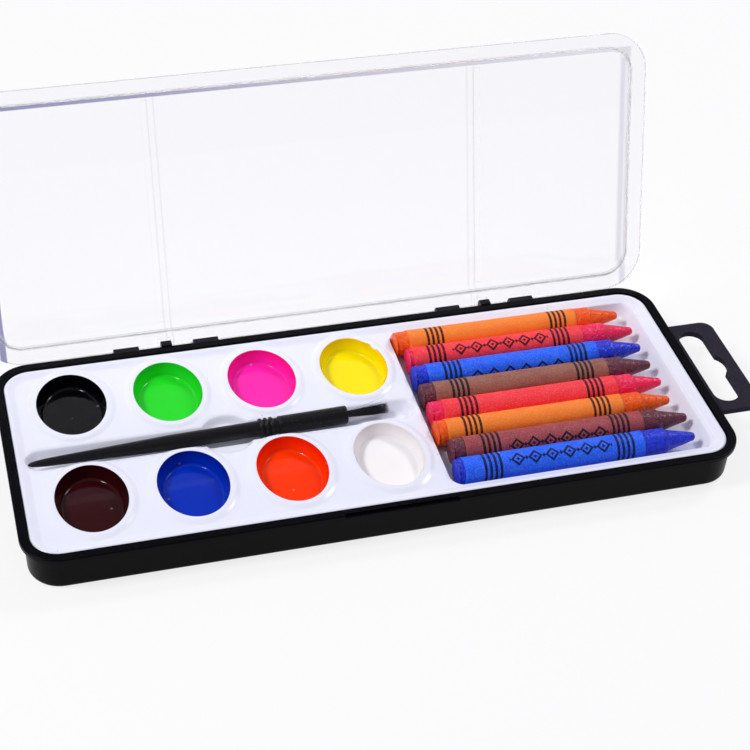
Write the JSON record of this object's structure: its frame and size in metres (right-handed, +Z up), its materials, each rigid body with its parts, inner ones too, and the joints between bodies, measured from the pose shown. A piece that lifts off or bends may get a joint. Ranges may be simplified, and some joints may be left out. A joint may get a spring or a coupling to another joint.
{
  "type": "watercolour paint set",
  "caption": "Flat paint box with a clear hinged lid, oval wells of dried paint, a brush in a trough, a row of paper-wrapped crayons and a hanging tab at one end.",
  "frame": {"origin": "middle of the case's flat bottom face", "axes": "+X along the case towards the hanging tab, +Y to the hinged back edge, +Z up"},
  "size_m": [0.2011, 0.102, 0.0798],
  "materials": {
    "black_case": "fine satin moulded, low sheen",
    "clear_lid": "clear polished",
    "white_tray": "smooth moulded, soft gloss",
    "paint_black": "glossy dried paint",
    "paint_green": "glossy dried paint",
    "paint_pink": "glossy dried paint",
    "paint_yellow": "glossy dried paint",
    "paint_brown": "glossy dried paint",
    "paint_blue": "glossy dried paint",
    "paint_orange": "glossy dried paint",
    "paint_white": "glossy dried paint",
    "wax_orange": "waxy",
    "wax_red": "waxy",
    "wax_blue": "waxy",
    "wax_brown": "waxy",
    "wrapper_orange": "printed paper with dark bands",
    "wrapper_red": "printed paper with dark bands",
    "wrapper_blue": "printed paper with dark bands",
    "wrapper_brown_rear": "printed paper with dark bands",
    "wrapper_brown_front": "printed paper with dark bands",
    "brush_handle": "satin moulded",
    "brush_ferrule": "satin tube",
    "brush_bristles": "nylon bristles"
  },
  "bodies": {
    "case": {"case_base": "black_case", "insert_tray": "white_tray", "paint_brown": "paint_brown", "paint_blue": "paint_blue", "paint_orange": "paint_orange", "paint_white": "paint_white", "paint_black": "paint_black", "paint_green": "paint_green", "paint_pink": "paint_pink", "paint_yellow": "paint_yellow"},
    "lid": {"clear_lid": "clear_lid"},
    "brush": {"brush_handle": "brush_handle", "brush_ferrule": "brush_ferrule", "brush_bristles": "brush_bristles"},
    "crayon_orange_rear": {"crayon_wax_orange_rear": "wax_orange", "crayon_wrapper_orange_rear": "wrapper_orange"},
    "crayon_red_rear": {"crayon_wax_red_rear": "wax_red", "crayon_wrapper_red_rear": "wrapper_red"},
    "crayon_blue_rear": {"crayon_wax_blue_rear": "wax_blue", "crayon_wrapper_blue_rear": "wrapper_blue"},
    "crayon_brown_rear": {"crayon_wax_brown_rear": "wax_brown", "crayon_wrapper_brown_rear": "wrapper_brown_rear"},
    "crayon_red_front": {"crayon_wax_red_front": "wax_red", "crayon_wrapper_red_front": "wrapper_red"},
    "crayon_orange_front": {"crayon_wax_orange_front": "wax_orange", "crayon_wrapper_orange_front": "wrapper_orange"},
    "crayon_brown_front": {"crayon_wax_brown_front": "wax_brown", "crayon_wrapper_brown_front": "wrapper_brown_front"},
    "crayon_blue_front": {"crayon_wax_blue_front": "wax_blue", "crayon_wrapper_blue_front": "wrapper_blue"}
  },
  "joints": [
    {"name": "lid_hinge", "type": "hinge", "parent": "case", "child": "lid", "pos_m": [0, 0.0381, 0.008], "axis": [-1, 0, 0], "range_deg": [-106.1, 0]},
    {"name": "brush_lift", "type": "slide", "parent": "case", "child": "brush", "axis": [0, 0, 1], "range_m": [0, 0.045]},
    {"name": "crayon_orange_rear_lift", "type": "slide", "parent": "case", "child": "crayon_orange_rear", "axis": [0, 0, 1], "range_m": [0, 0.04]},
    {"name": "crayon_red_rear_lift", "type": "slide", "parent": "case", "child": "crayon_red_rear", "axis": [0, 0, 1], "range_m": [0, 0.04]},
    {"name": "crayon_blue_rear_lift", "type": "slide", "parent": "case", "child": "crayon_blue_rear", "axis": [0, 0, 1], "range_m": [0, 0.04]},
    {"name": "crayon_brown_rear_lift", "type": "slide", "parent": "case", "child": "crayon_brown_rear", "axis": [0, 0, 1], "range_m": [0, 0.04]},
    {"name": "crayon_red_front_lift", "type": "slide", "parent": "case", "child": "crayon_red_front", "axis": [0, 0, 1], "range_m": [0, 0.04]},
    {"name": "crayon_orange_front_lift", "type": "slide", "parent": "case", "child": "crayon_orange_front", "axis": [0, 0, 1], "range_m": [0, 0.04]},
    {"name": "crayon_brown_front_lift", "type": "slide", "parent": "case", "child": "crayon_brown_front", "axis": [0, 0, 1], "range_m": [0, 0.04]},
    {"name": "crayon_blue_front_lift", "type": "slide", "parent": "case", "child": "crayon_blue_front", "axis": [0, 0, 1], "range_m": [0, 0.04]}
  ]
}
